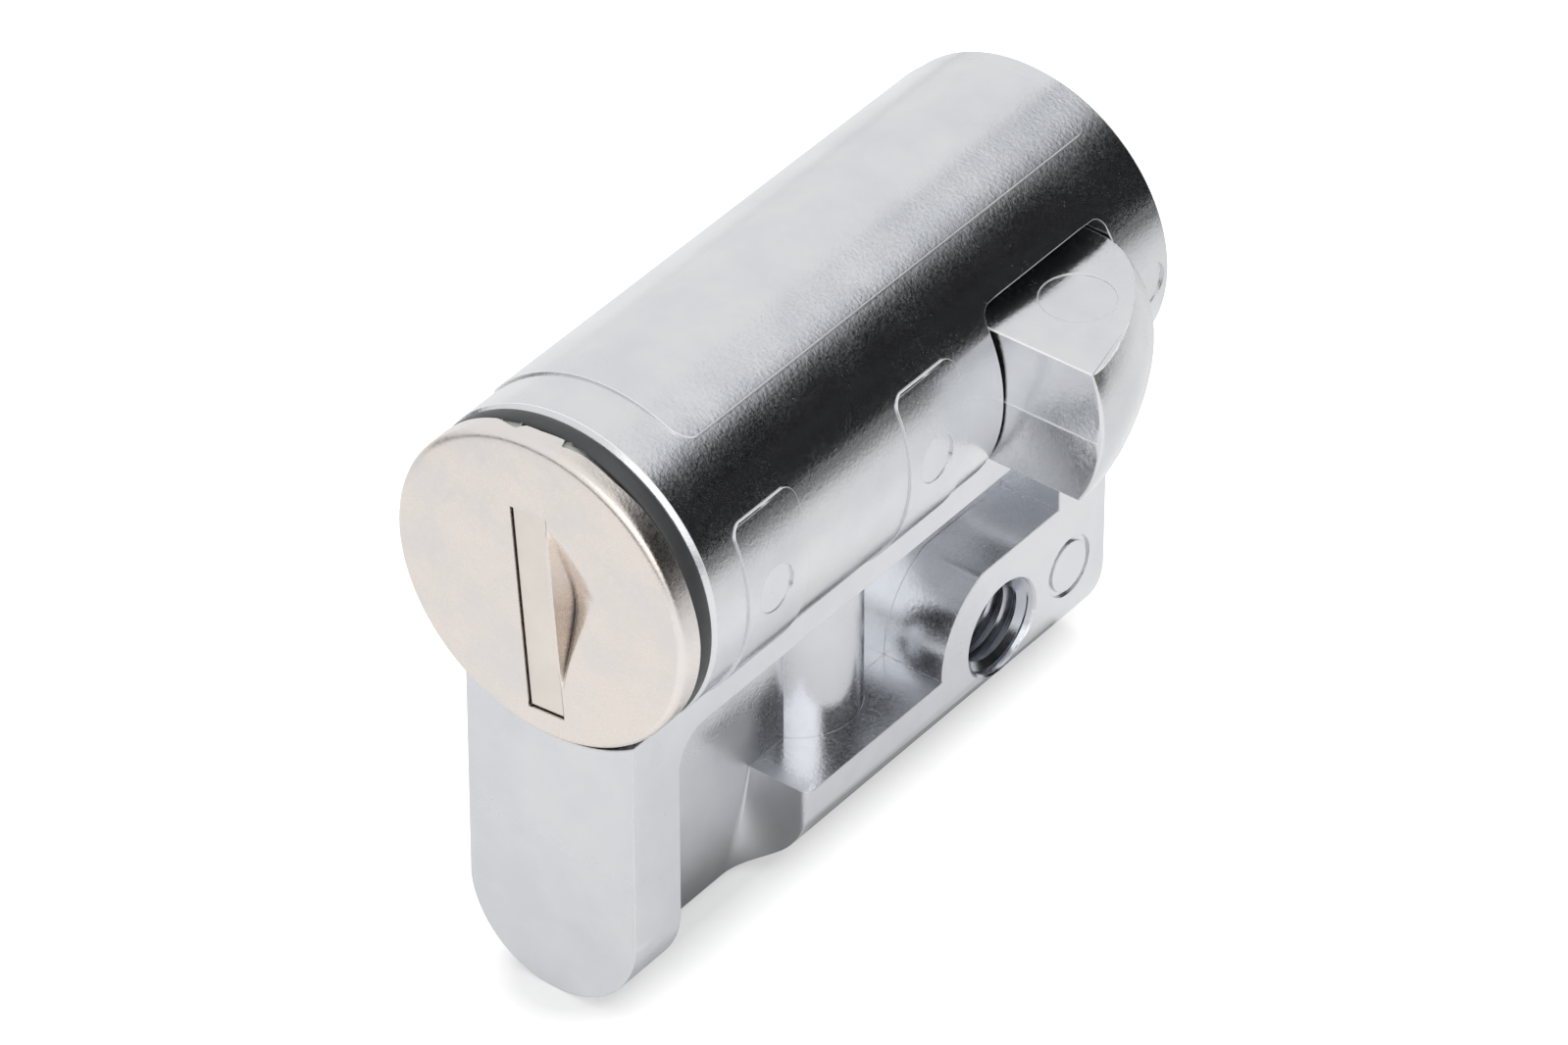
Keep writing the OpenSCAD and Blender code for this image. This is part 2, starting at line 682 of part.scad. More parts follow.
// Plug: head, body with key way and wafer slots, and the tail that drives the cam
module plug() {
    color([0.8, 0.68, 0.38]) place_plug() difference() {
        union() {
            turn_y() polygon([
                [0, head_y],
                [head_r - head_chamfer, head_y],
                [head_r, head_y + head_chamfer],
                [head_r, head_back],
                [plug_r, head_back],
                [plug_r, plug_back],
                [hub_seat_r, plug_back],
                [hub_seat_r, cam_front],
                [0, cam_front]]);
            rotate([0, slot_lean, 0]) intersection() {
                bar_y(plug_back, cam_gap_rear - turn_fit, tail_r);
                box3(-far, far, plug_back - past, far, -tail_flat, tail_flat);
            }
            bar_y(cam_gap_rear - past, tail_back, min(journal_r, tail_flat));
            bar_y(cam_gap_rear - turn_fit, tail_back, journal_r);
        }
        difference() {
            bar_y(pin_y - groove_half, pin_y + groove_half, far);
            bar_y(pin_y - groove_half - past, pin_y + groove_half + past, groove_r);
        }
        box3(slot_left, slot_right, head_y - past, key_way_depth, -far / 2, slot_top);
        shutter_room();
        intersection() {
            dish(cap_t + rim_fit);
            box3(slot_left, far, head_y - past, far, -far, far);
        }
        for (i = [0:wafer_n - 1])
            wafer_slot(i);
        translate([hinge_x, hinge_y, shutter_pin_low])
            cylinder(h = shutter_pin_len, r = shutter_pin_r);
        bar_y(tail_back - screw_grip - past, tail_back + past, screw_r);
    }
}

// Pressed sheet cap over the plug's head
module face_cap() {
    color([0.86, 0.84, 0.8]) place_plug() difference() {
        union() {
            turn_y() polygon(concat(
                [[0, cap_front]],
                [for (a = [0:22.5:90]) [cap_r - cap_edge + cap_edge * sin(a),
                    cap_front + cap_edge - cap_edge * cos(a)]],
                [[cap_r, cap_back],
                 [head_r + rim_fit, cap_back],
                 [head_r + rim_fit, head_y + head_chamfer],
                 [head_r + rim_fit - head_chamfer, head_y],
                 [0, head_y]]));
            intersection() {
                dish(cap_t);
                box3(slot_right, far, head_y - cap_t / 2, far, -far, far);
            }
        }
        dish(0);
        box3(slot_left, slot_right, cap_front - past, head_y + past, -slot_bottom, slot_top);
        for (a = cap_notches)
            rotate([0, slot_lean - a, 0])
                box3(head_r - past, far, cap_back - notch_depth, far, -notch_w / 2, notch_w / 2);
    }
}

// Sprung flap in the key slot: leaf with its knuckle, raised face and folded flange
module shutter() {
    color([0.62, 0.63, 0.64]) place_plug() difference() {
        union() {
            box3(hinge_x, flap_right, flap_y, flap_y + flap_t, -knuckle_low, knuckle_top);
            box3(face_left, flap_right, face_y, flap_y + flap_t, -flap_low, flap_top);
            box3(flap_right - flap_t, flap_right, face_y, flange_back, -flange_low, flange_top);
            translate([hinge_x, hinge_y, -knuckle_low])
                cylinder(h = knuckle_low + knuckle_top, r = knuckle_r);
        }
        translate([hinge_x, hinge_y, -far / 2])
            cylinder(h = far, r = shutter_pin_r + turn_fit * 0.6);
    }
}

module shutter_pin() {
    color([0.75, 0.75, 0.77]) place_plug()
        translate([hinge_x, hinge_y, shutter_pin_low])
            cylinder(h = shutter_pin_len, r = shutter_pin_r);
}

module shutter_spring() {
    path = coil_path(shutter_coil_r, shutter_coil_z, shutter_coil_h, shutter_turns, 0);
    echo(shutter_spring_gap = coil_gap(path, shutter_wire_r));
    color([0.6, 0.6, 0.62]) place_plug()
        translate([hinge_x, hinge_y, 0]) wire(path, shutter_wire_r);
}

// Flat wafer with its window for the key and its spring lug
module wafer(i) {
    turn = i % 2 == 0 ? 0 : 180;
    y = wafer_first + i * wafer_pitch;
    color([0.82, 0.7, 0.42]) place_plug() difference() {
        prism_y(y - wafer_t / 2, y + wafer_t / 2) rotate(-turn) {
            intersection() {
                circle(r = wafer_end_r);
                box2(-wafer_half, wafer_half, -far, far);
            }
            box2(0, lug_end, lug_low, lug_low + lug_h);
        }
        box3(slot_left - slide_fit, slot_right + slide_fit, y - wafer_t, y + wafer_t,
            wafer_bar - wafer_end_r, min(slot_top + slide_fit, wafer_end_r - wafer_bar));
    }
}

module wafer_spring(i) {
    turn = i % 2 == 0 ? 0 : 180;
    path = coil_path(spring_r, spring_low + spring_wire_r,
        spring_h - 2 * spring_wire_r - turn_fit, spring_turns, 0);
    echo(wafer_spring_gap = coil_gap(path, spring_wire_r));
    color([0.6, 0.6, 0.62]) place_plug() rotate([0, turn, 0])
        translate([spring_x, wafer_first + i * wafer_pitch, 0]) wire(path, spring_wire_r);
}

// Cam: hub on the plug's tail and a lug with a rounded back
module cam() {
    color([0.74, 0.75, 0.77]) place() difference() {
        union() {
            bar_y(cam_front, cam_back, hub_r);
            intersection() {
                union() {
                    translate([cam_round_x, 0, cam_round_z])
                        turn_y() polygon(concat([[0, cam_front]], cam_outline, [[0, cam_back]]));
                    prism_x(tail_flat, cam_round_x) translate([0, cam_round_z]) union() {
                        polygon(concat([[cam_front, 0]], [for (p = cam_outline) [p[1], p[0]]], [[cam_back, 0]]));
                        polygon(concat([[cam_front, 0]], [for (p = cam_outline) [p[1], -p[0]]], [[cam_back, 0]]));
                    }
                }
                prism_x(tail_flat, far) polygon([
                    [cam_front, 0],
                    [cam_front + cam_crease, cam_top],
                    [cam_back, cam_top],
                    [cam_back, -cam_bottom],
                    [cam_front + cam_crease, -cam_bottom]]);
            }
        }
        translate([cam_mark_x, cam_front + cam_mark_y, cam_top - cam_mark_depth])
            cylinder(h = past, r = cam_mark_r);
        intersection() {
            bar_y(cam_front - past, cam_back + past, tail_r + turn_fit);
            box3(-far, far, 0, far, -tail_flat - turn_fit, tail_flat + turn_fit);
        }
    }
}

module cam_washer() {
    color([0.7, 0.71, 0.73]) place() difference() {
        bar_y(tail_back, tail_back + washer_t, washer_r);
        bar_y(tail_back - past, tail_back + washer_t + past, screw_r + turn_fit);
    }
}

// Screw in the plug's tail that holds the washer over the rear journal
module cam_screw() {
    head_at = tail_back + washer_t;
    color([0.72, 0.72, 0.72]) place() difference() {
        union() {
            bar_y(tail_back - screw_grip, head_at + head_chamfer, screw_r);
            turn_y() polygon([
                [0, head_at],
                [screw_head_r, head_at],
                [screw_head_r, head_at + screw_head_h - head_chamfer],
                [screw_head_r - head_chamfer, head_at + screw_head_h],
                [0, head_at + screw_head_h]]);
        }
        for (a = [0, 90])
            rotate([0, a, 0])
                box3(-recess_len / 2, recess_len / 2,
                    head_at + screw_head_h - recess_depth, far, -recess_w / 2, recess_w / 2);
    }
}

housing();
seal_ring();
retaining_pin();
plug();
face_cap();
shutter();
shutter_pin();
shutter_spring();
wafer(0);  // wafer_1
wafer(1);  // wafer_2
wafer(2);  // wafer_3
wafer(3);  // wafer_4
wafer(4);  // wafer_5
wafer(5);  // wafer_6
wafer_spring(0);  // wafer_spring_1
wafer_spring(1);  // wafer_spring_2
wafer_spring(2);  // wafer_spring_3
wafer_spring(3);  // wafer_spring_4
wafer_spring(4);  // wafer_spring_5
wafer_spring(5);  // wafer_spring_6
cam();
cam_washer();
cam_screw();
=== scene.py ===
import json
import math
import bmesh
import bpy
from mathutils import Matrix, Vector


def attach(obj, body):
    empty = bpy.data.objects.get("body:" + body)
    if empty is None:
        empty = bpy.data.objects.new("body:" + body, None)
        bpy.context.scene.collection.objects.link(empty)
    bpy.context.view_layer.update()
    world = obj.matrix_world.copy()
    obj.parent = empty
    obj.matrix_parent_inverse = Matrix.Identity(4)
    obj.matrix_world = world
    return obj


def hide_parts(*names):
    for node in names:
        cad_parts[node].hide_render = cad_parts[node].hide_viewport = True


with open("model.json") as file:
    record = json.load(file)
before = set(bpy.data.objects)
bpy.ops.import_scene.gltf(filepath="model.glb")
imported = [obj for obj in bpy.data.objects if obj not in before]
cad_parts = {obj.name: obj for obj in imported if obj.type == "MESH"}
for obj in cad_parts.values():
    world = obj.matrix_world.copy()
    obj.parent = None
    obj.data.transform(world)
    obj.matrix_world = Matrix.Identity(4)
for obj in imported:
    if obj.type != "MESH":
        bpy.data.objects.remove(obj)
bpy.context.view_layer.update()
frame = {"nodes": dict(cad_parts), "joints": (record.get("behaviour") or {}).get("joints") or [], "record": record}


# Case. One zinc die casting: round barrel, web with its two pockets, post, bottom rail and the boss
# of the fixing hole. It is barrel-plated, which leaves a bright skin over a faintly pebbled cast
# surface, and its edges come out of the die and the plating a little rounded.
MM = 0.001
mounts = {mount["name"]: mount for mount in frame["record"]["mounts"]}
joints = {joint["name"]: joint for joint in frame["joints"]}
# the middle of the fixing hole, in mm from the web's front face and below the plug's axis
HOLE_Y = round(-mounts["web_front"]["pos_m"][1] / MM, 3)
HOLE_DROP = round(joints["plug_turn"]["pos_m"][2] / MM, 3)

# sizes in mm; places along y and z are from the web's front face and the plug's axis
BARREL_FRONT, BARREL_LOW = 1.75, -8.7
RAIL_FRONT, RAIL_TOP = 13.32, -18.87
POCKET_WALL, FILLET_END = 1.42, 3.52
NOSE_FROM, NOSE_TO, NOSE_TOP = 8, RAIL_FRONT + 1.5, RAIL_TOP + 0.35
WEB_ROUND, FACE_DEPTH = -19.5, 1
BORE_HALF, THREAD_ROOM = 4.95, 2.6
SNAP, MARGIN = 0.01, 0.1

CASE_ROUNDING = 0.07
# triangles within FLAT degrees are one face, and an edge that bends by HARD_EDGE degrees is hard;
# edges beside slim faces and under the seal take a share of the rounding
WELD, FLAT, HARD_EDGE = 0.001, 0.5, 28.0
SLIM_SHARE, HIDDEN_SHARE = 0.35, 0.3


def fill(tree, socket, value):
    """Links a socket to another node's output, or sets the value on the socket itself."""
    if isinstance(value, bpy.types.NodeSocket):
        tree.links.new(value, socket)
    else:
        socket.default_value = value


def wired(tree, kind, **sockets):
    """A shader node with its sockets set or linked by name, with _ for a space."""
    node = tree.nodes.new(kind)
    for name, value in sockets.items():
        fill(tree, node.inputs[name.replace("_", " ")], value)
    return node


def maths(tree, operation, *values):
    node = tree.nodes.new("ShaderNodeMath")
    node.operation = operation
    for socket, value in zip(node.inputs, values):
        fill(tree, socket, value)
    return node.outputs[0]


def dot(tree, first, second):
    node = tree.nodes.new("ShaderNodeVectorMath")
    node.operation = "DOT_PRODUCT"
    for socket, value in zip(node.inputs, (first, second)):
        fill(tree, socket, value)
    return node.outputs["Value"]


def ramp(tree, value, between, levels=(0.0, 1.0)):
    """A value's share of the way between two bounds, as a level between two levels."""
    node = wired(tree, "ShaderNodeMapRange", Value=value, From_Min=between[0], From_Max=between[1],
                 To_Min=levels[0], To_Max=levels[1])
    return node.outputs[0]


def mixed(tree, share, first, second):
    return wired(tree, "ShaderNodeMix", Factor=share, A=first, B=second).outputs[0]


def mixed_colour(tree, share, first, second):
    node = wired(tree, "ShaderNodeMix", Factor=share)
    node.data_type = "RGBA"
    colours = [socket for socket in node.inputs if socket.type == "RGBA"]
    fill(tree, colours[0], first)
    fill(tree, colours[1], second)
    return next(socket for socket in node.outputs if socket.type == "RGBA")


def in_space(tree):
    """The place on a piece, in the piece's own space."""
    return tree.nodes.new("ShaderNodeTexCoord").outputs["Object"]


def cloud(tree, place, size, detail=3.0, rough=0.55, stretch=(1, 1, 1)):
    """Noise in features of about `size` mm."""
    stretched = wired(tree, "ShaderNodeMapping", Vector=place, Scale=stretch)
    return wired(tree, "ShaderNodeTexNoise", Vector=stretched.outputs[0], Scale=1.0 / (size * MM),
                 Detail=detail, Roughness=rough).outputs["Fac"]


# sizes in mm of the cloudy patches, the specks on them and the single grains, and the noise between
# whose bounds each goes from none to full
PATCH, SPECK, GRAIN = 3.5, 0.25, 0.11
PATCH_NOISE, SHINE_NOISE, GRAIN_NOISE = (0.35, 0.65), (0.2, 0.55), (0.25, 0.75)
SPECK_SHARE = 0.1
# rubbed edges: cosine of the bend where they begin and are full, and what they change; the brighter colour on them
# is a painted highlight
RUB_BEND, RUB_HIGHLIGHT, RUB_ROUGHER = (0.997, 0.95), 1.12, 0.6
# painted shade in the hollows: how far it looks for walls in mm, how open a hollow may be, and its colour
HOLLOW_SHADE_REACH, HOLLOW_SHADE_OPEN, HOLLOW_SHADE_COLOUR = 0.35, (0.45, 0.12), (0.05, 0.05, 0.055, 1)
SAMPLES = 4


def metal(name, bright, dull, shine, pebble, swell, edge_r=0.06, brushed=(1, 1, 1), metallic=1.0,
          edge=0.5, hollow_shade=0.6, grain=0.0):
    """A worked metal: cloudy colour and shine, fine pebbling, slow swells, rubbed edges with a painted
    highlight, painted shade in the hollows. shine is the roughness from and to; pebble and swell are a size and a
    depth in mm; edge_r is the rounding in mm that the light sees; the last three arguments say how strong the
    rubbed edges with their painted highlight, the painted shade in the hollows and the grain are."""
    mat = bpy.data.materials.new(name)
    mat.use_nodes = True
    tree = mat.node_tree
    shader = tree.nodes["Principled BSDF"].inputs
    place = in_space(tree)
    patches = cloud(tree, place, PATCH)
    # colour: bright and dull patches, a painted highlight along the rubbed edges and painted shade in the hollows
    tone = mixed_colour(tree, ramp(tree, patches, PATCH_NOISE), (*bright, 1), (*dull, 1))
    rounding = wired(tree, "ShaderNodeBevel", Radius=edge_r * MM)
    rounding.samples = SAMPLES
    facing = tree.nodes.new("ShaderNodeNewGeometry").outputs["Normal"]
    rubbed_and_highlit = ramp(tree, dot(tree, rounding.outputs[0], facing), RUB_BEND, (0.0, edge))
    highlight_tone = [min(1, part * RUB_HIGHLIGHT) for part in bright]
    tone = mixed_colour(tree, rubbed_and_highlit, tone, (*highlight_tone, 1))
    hollow = wired(tree, "ShaderNodeAmbientOcclusion", Distance=HOLLOW_SHADE_REACH * MM)
    hollow.samples = SAMPLES
    painted_shade = ramp(tree, hollow.outputs["AO"], HOLLOW_SHADE_OPEN, (0.0, hollow_shade))
    fill(tree, shader["Base Color"], mixed_colour(tree, painted_shade, tone, HOLLOW_SHADE_COLOUR))
    shader["Metallic"].default_value = metallic
    # shine: rougher where it is cloudy, in single grains and where the edges are rubbed
    cloudy = maths(tree, "MULTIPLY_ADD", patches, cloud(tree, place, SPECK, detail=2.0), SPECK_SHARE)
    grains = ramp(tree, cloud(tree, place, GRAIN, detail=1.0), GRAIN_NOISE, (-grain, grain))
    grainy = maths(tree, "ADD", grains, ramp(tree, cloudy, SHINE_NOISE, shine))
    fill(tree, shader["Roughness"], maths(tree, "MULTIPLY_ADD", rubbed_and_highlit, RUB_ROUGHER, grainy))
    # relief: slow swells under a fine grain, over rounded edges
    slow = wired(tree, "ShaderNodeBump", Height=cloud(tree, place, swell[0], detail=1.0),
                 Distance=swell[1] * MM, Normal=rounding.outputs[0])
    fine = wired(tree, "ShaderNodeBump", Height=cloud(tree, place, pebble[0], detail=2.0, stretch=brushed),
                 Distance=pebble[1] * MM, Normal=slow.outputs[0])
    fill(tree, shader["Normal"], fine.outputs[0])
    return mat


case_plating = metal("case_plating", bright=(0.78, 0.79, 0.81), dull=(0.73, 0.745, 0.775),
                     shine=(0.17, 0.25), pebble=(0.2, 0.007), swell=(2.4, 0.012), edge=0.15, hollow_shade=0.3,
                     grain=0.05)
# a near-white, rougher skin for the rounded edges of the case and the cam: rubbed wear, with a painted highlight
# along them
rubbed_highlit_plating = metal("rubbed_highlit_plating", bright=(0.93, 0.935, 0.94), dull=(0.88, 0.885, 0.895),
                       shine=(0.42, 0.55), pebble=(0.1, 0.004), swell=(1.2, 0.004), edge_r=0.02,
                       metallic=0.3, edge=0.0)
# where the duller skin of the pocket's front end begins and is full: in mm from the web's middle, from
# its front face and up from the fixing hole
DULL_X, DULL_Y, DULL_Z = (4.9, 4.6), (14.6, 13.2), (4.0, 2.0)
DULL_ROUGHNESS = 0.42


def dull_front_end(mat):
    """The pocket's front end is the draft side of the die and keeps a duller skin."""
    tree = mat.node_tree
    place = wired(tree, "ShaderNodeSeparateXYZ", Vector=in_space(tree)).outputs
    sunk = ramp(tree, maths(tree, "ABSOLUTE", place["X"]), [x * MM for x in DULL_X])
    low = ramp(tree, place["Z"], [z * MM for z in DULL_Z])
    front = ramp(tree, place["Y"], [(y - HOLE_Y) * MM for y in DULL_Y])
    share = maths(tree, "MULTIPLY", maths(tree, "MULTIPLY", sunk, low), front)
    roughness = tree.nodes["Principled BSDF"].inputs["Roughness"]
    fill(tree, roughness, mixed(tree, share, roughness.links[0].from_socket, DULL_ROUGHNESS))


def shade(bm, hard=None):
    """Smooth faces; edges that bend by `hard` degrees or more stay hard."""
    for face in bm.faces:
        face.smooth = True
    if hard:
        for edge in bm.edges:
            edge.smooth = len(edge.link_faces) == 2 and edge.calc_face_angle() < math.radians(hard)


def rounding_of(bm):
    """The layer that holds each edge's share of the rounding."""
    name = "bevel_weight_edge"
    return bm.edges.layers.float.get(name) or bm.edges.layers.float.new(name)


def merged(node, thin=0.25):
    """A CAD solid with its loose triangles joined, flat faces whole and hard edges marked. An edge
    beside a strip narrower than `thin` mm, as round the cast pads, is given a smaller rounding."""
    bm = bmesh.new()
    bm.from_mesh(frame["nodes"][node].data)
    bmesh.ops.remove_doubles(bm, verts=bm.verts, dist=WELD * MM)
    bmesh.ops.dissolve_limit(bm, angle_limit=math.radians(FLAT), verts=bm.verts, edges=bm.edges,
                             delimit={"NORMAL"})
    share = rounding_of(bm)
    breadth = {face: 2 * face.calc_area() / sum(edge.calc_length() for edge in face.edges)
               for face in bm.faces}
    shade(bm, HARD_EDGE)
    for edge in bm.edges:
        if not edge.smooth and edge.is_convex:
            slimmest = min((breadth[face] for face in edge.link_faces), default=0)
            edge[share] = 1.0 if slimmest > thin * MM else SLIM_SHARE
    return bm


def piece_from(bm, name, *finishes):
    mesh = bpy.data.meshes.new(name)
    bm.to_mesh(mesh)
    bm.free()
    piece = bpy.data.objects.new(name, mesh)
    bpy.context.scene.collection.objects.link(piece)
    for finish in finishes:
        mesh.materials.append(finish)
    return piece


def round_off(piece, width, angle=None, rubbed_and_highlit=-1, clamp=True):
    """Rounds the hard edges of a piece, as the die, the press or the tumbling leaves them.
    The rounding takes the material number it is given, whose lighter skin on the case and the cam paints a
    highlight over the rubbed edges, or its neighbours' own."""
    bevel = piece.modifiers.new("edge rounding", "BEVEL")
    bevel.material = rubbed_and_highlit
    bevel.width = width * MM
    bevel.segments = 2
    bevel.limit_method = "ANGLE" if angle else "WEIGHT"
    if angle:
        bevel.angle_limit = math.radians(angle)
    bevel.harden_normals = True
    bevel.use_clamp_overlap = clamp
    bevel.miter_outer = "MITER_ARC"


def from_axis(vert):
    """A vertex's place in mm from the plug's axis and the web's front face."""
    return vert.co.x / MM, vert.co.y / MM + HOLE_Y, vert.co.z / MM - HOLE_DROP


def under_seal(vert):
    x, y, z = from_axis(vert)
    return abs(y - BARREL_FRONT) < 2 * SNAP and z > BARREL_LOW


def at_nose(vert):
    x, y, z = from_axis(vert)
    return NOSE_FROM < y < NOSE_TO and z < NOSE_TOP and abs(x) > POCKET_WALL - MARGIN


def at_round_bottom(vert):
    """True along the web's round bottom; the front face's upright edges keep their rounding down to it."""
    x, y, z = from_axis(vert)
    return z < WEB_ROUND + (-MARGIN if y < FACE_DEPTH else MARGIN)


def widen(vert, radius):
    """Moves a vertex of the fixing hole straight out to a radius in metres."""
    grow = radius / math.hypot(vert.co.y, vert.co.z)
    vert.co.y, vert.co.z = vert.co.y * grow, vert.co.z * grow


bm = merged("housing")
for vert in bm.verts:
    x, y, z = from_axis(vert)
    # the nose's upper edge runs straight into the pocket's wall; its fillet only grows below it
    if POCKET_WALL - SNAP < abs(x) < FILLET_END and abs(z - RAIL_TOP) < SNAP and y < RAIL_FRONT:
        vert.co.y = (RAIL_FRONT - HOLE_Y) * MM
    # room for the thread
    if math.hypot(vert.co.y, vert.co.z) < THREAD_ROOM * MM and abs(x) < BORE_HALF:
        widen(vert, THREAD_ROOM * MM)
share = rounding_of(bm)
for edge in bm.edges:
    # the barrel's front edge lies under the seal and stays sharper
    if all(under_seal(vert) for vert in edge.verts):
        edge[share] *= HIDDEN_SHARE
    # the nose and the web's round bottom are left as cast
    if any(at_nose(vert) or at_round_bottom(vert) for vert in edge.verts):
        edge[share] = 0.0
dull_front_end(case_plating)
case_casting = piece_from(bm, "case_casting", case_plating, rubbed_highlit_plating)
round_off(case_casting, CASE_ROUNDING, rubbed_and_highlit=1, clamp=False)
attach(case_casting, "case")
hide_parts("housing")


# Thread of the fixing hole. Cut into the boss with a tap, right through, for the 5 mm screw: a
# bright, freshly cut helix whose first turns run out in the chamfered mouths.
PITCH, TURNS, TURN_STEPS = 0.8, 14, 40
ROOT, CREST = 2.5, 2.1
ROOT_FLAT, CREST_FROM, CREST_TO = 0.1, 0.38, 0.48
# the helix ends inside the web's sides, where the mouths' chamfers are MOUTH_R wide
HOLE_END, WEB_HALF, MOUTH_R = 4.85, 5.0, 2.8
THREAD_WALL = 0.08
cut_zinc = metal("cut_zinc", bright=(0.66, 0.68, 0.72), dull=(0.5, 0.52, 0.57), shine=(0.14, 0.26),
                 pebble=(0.08, 0.003), swell=(1.0, 0.004), edge_r=0.03, hollow_shade=0.7)


def turn_to(bm, way):
    """Recalculates a sheet's normals and turns it so that its faces look the way that `way` gives."""
    bmesh.ops.recalc_face_normals(bm, faces=bm.faces)
    if sum(face.normal.dot(way(face.calc_center_median())) * face.calc_area() for face in bm.faces) < 0:
        bmesh.ops.reverse_faces(bm, faces=bm.faces)


def walled(piece, thickness):
    """Gives a sheet its thickness, on the side away from its faces."""
    wall = piece.modifiers.new("wall", "SOLIDIFY")
    wall.thickness = thickness * MM
    wall.offset = -1


def chain(bm, places):
    """Vertices at the places, joined by edges in a row."""
    verts = [bm.verts.new(place) for place in places]
    return verts + [bm.edges.new(pair) for pair in zip(verts, verts[1:])]


bm = bmesh.new()
tooth = chain(bm, [(x * MM, 0, r * MM) for x, r in (
    (0, ROOT), (ROOT_FLAT, ROOT), (CREST_FROM, CREST), (CREST_TO, CREST), (PITCH, ROOT))])
bmesh.ops.translate(bm, verts=bm.verts, vec=(-PITCH * TURNS / 2 * MM, 0, 0))
bmesh.ops.spin(bm, geom=tooth, cent=(0, 0, 0), axis=(1, 0, 0), dvec=(PITCH / TURN_STEPS * MM, 0, 0),
               angle=math.radians(360 * TURNS), steps=TURN_STEPS * TURNS, use_merge=False,
               use_duplicate=False)
bmesh.ops.remove_doubles(bm, verts=bm.verts, dist=2 * WELD * MM)
for side in (-1, 1):
    bmesh.ops.bisect_plane(bm, geom=bm.verts[:] + bm.edges[:] + bm.faces[:],
                           plane_co=(side * HOLE_END * MM, 0, 0), plane_no=(side, 0, 0), clear_outer=True)
for vert in bm.verts:
    # the mouths' chamfers cut the crests back
    least = (MOUTH_R - WEB_HALF) * MM + abs(vert.co.x)
    if math.hypot(vert.co.y, vert.co.z) < least:
        widen(vert, least)
turn_to(bm, lambda middle: Vector((0, -middle.y, -middle.z)))
shade(bm, HARD_EDGE)
thread = piece_from(bm, "fixing_thread", cut_zinc)
walled(thread, THREAD_WALL)
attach(thread, "case")


# Seal ring. A moulded rubber ring laid between the face cap and the barrel's front edge. Its lip is
# rounded and stands a little below the barrel's skin.
RING_STEPS = 144
# the ring's section, as radius and place along the axis
LIP = ((7.86, 0.78), (8.16, 0.73), (8.3, 0.78), (8.375, 0.9), (8.41, 1.05), (8.44, 1.3), (8.44, 1.5),
       (8.41, 1.62), (8.34, 1.71), (8.2, 1.745), (7.86, 1.745))
seal_rubber = metal("seal_rubber", bright=(0.06, 0.064, 0.066), dull=(0.04, 0.043, 0.046), shine=(0.34, 0.5),
                    pebble=(0.2, 0.01), swell=(3.0, 0.02), metallic=0.0, edge=0.2)


def at(x, y, z):
    """A place given in mm from the plug's axis and the web's front face, in the row frame."""
    return Vector((x, y - HOLE_Y, z + HOLE_DROP)) * MM


bm = bmesh.new()
lip = chain(bm, [at(radius, y, 0) for radius, y in LIP])
closing = bm.edges.new((lip[len(LIP) - 1], lip[0]))
bmesh.ops.spin(bm, geom=lip + [closing], cent=at(0, 0, 0), axis=(0, 1, 0), angle=math.radians(360),
               steps=RING_STEPS, use_merge=True, use_duplicate=False)
bmesh.ops.recalc_face_normals(bm, faces=bm.faces)
shade(bm)
seal = piece_from(bm, "seal_lip", seal_rubber)
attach(seal, "case")
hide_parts("seal_ring")


# Plug. Turned and broached brass: head, body with the key way and the wafer slots, and the tail.
# The lathe leaves fine rings round it.
turned_brass = metal("turned_brass", bright=(0.78, 0.60, 0.30), dull=(0.70, 0.53, 0.26), shine=(0.2, 0.34),
                     pebble=(0.12, 0.004), swell=(2.0, 0.006), brushed=(1, 6, 1))


def dress(node, finish):
    """Gives a CAD node that is shown as it is its finish."""
    materials = frame["nodes"][node].data.materials
    materials.clear()
    materials.append(finish)


dress("plug", turned_brass)


# Wafers and their springs. Stamped brass plates with sheared edges, each in its slot of the plug, on
# small coils of drawn spring wire.
stamped_brass = metal("stamped_brass", bright=(0.80, 0.63, 0.33), dull=(0.73, 0.56, 0.29),
                      shine=(0.24, 0.38), pebble=(0.1, 0.004), swell=(1.5, 0.006))
drawn_wire = metal("drawn_wire", bright=(0.50, 0.50, 0.52), dull=(0.42, 0.42, 0.44), shine=(0.22, 0.36),
                   pebble=(0.05, 0.001), swell=(0.6, 0.002), edge_r=0.02)
for number in range(1, 7):
    dress("wafer_%d" % number, stamped_brass)
    dress("wafer_spring_%d" % number, drawn_wire)


# Shutter. A stamped, nickel-plated flap behind the key slot, with a rolled knuckle on a small ground
# pin and a wire spring that holds it shut.
FLAP_ROUNDING, FLAP_EDGE = 0.05, 40
nickel_satin = metal("nickel_satin", bright=(0.88, 0.825, 0.765), dull=(0.83, 0.775, 0.715),
                     shine=(0.28, 0.42), pebble=(0.12, 0.003), swell=(2.5, 0.01))
ground_steel = metal("ground_steel", bright=(0.62, 0.62, 0.63), dull=(0.54, 0.54, 0.56), shine=(0.2, 0.34),
                     pebble=(0.08, 0.002), swell=(1.0, 0.004))
flap = piece_from(merged("shutter"), "shutter_flap", nickel_satin)
round_off(flap, FLAP_ROUNDING, angle=FLAP_EDGE)
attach(flap, "shutter")
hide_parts("shutter")
dress("shutter_pin", ground_steel)
dress("shutter_spring", drawn_wire)


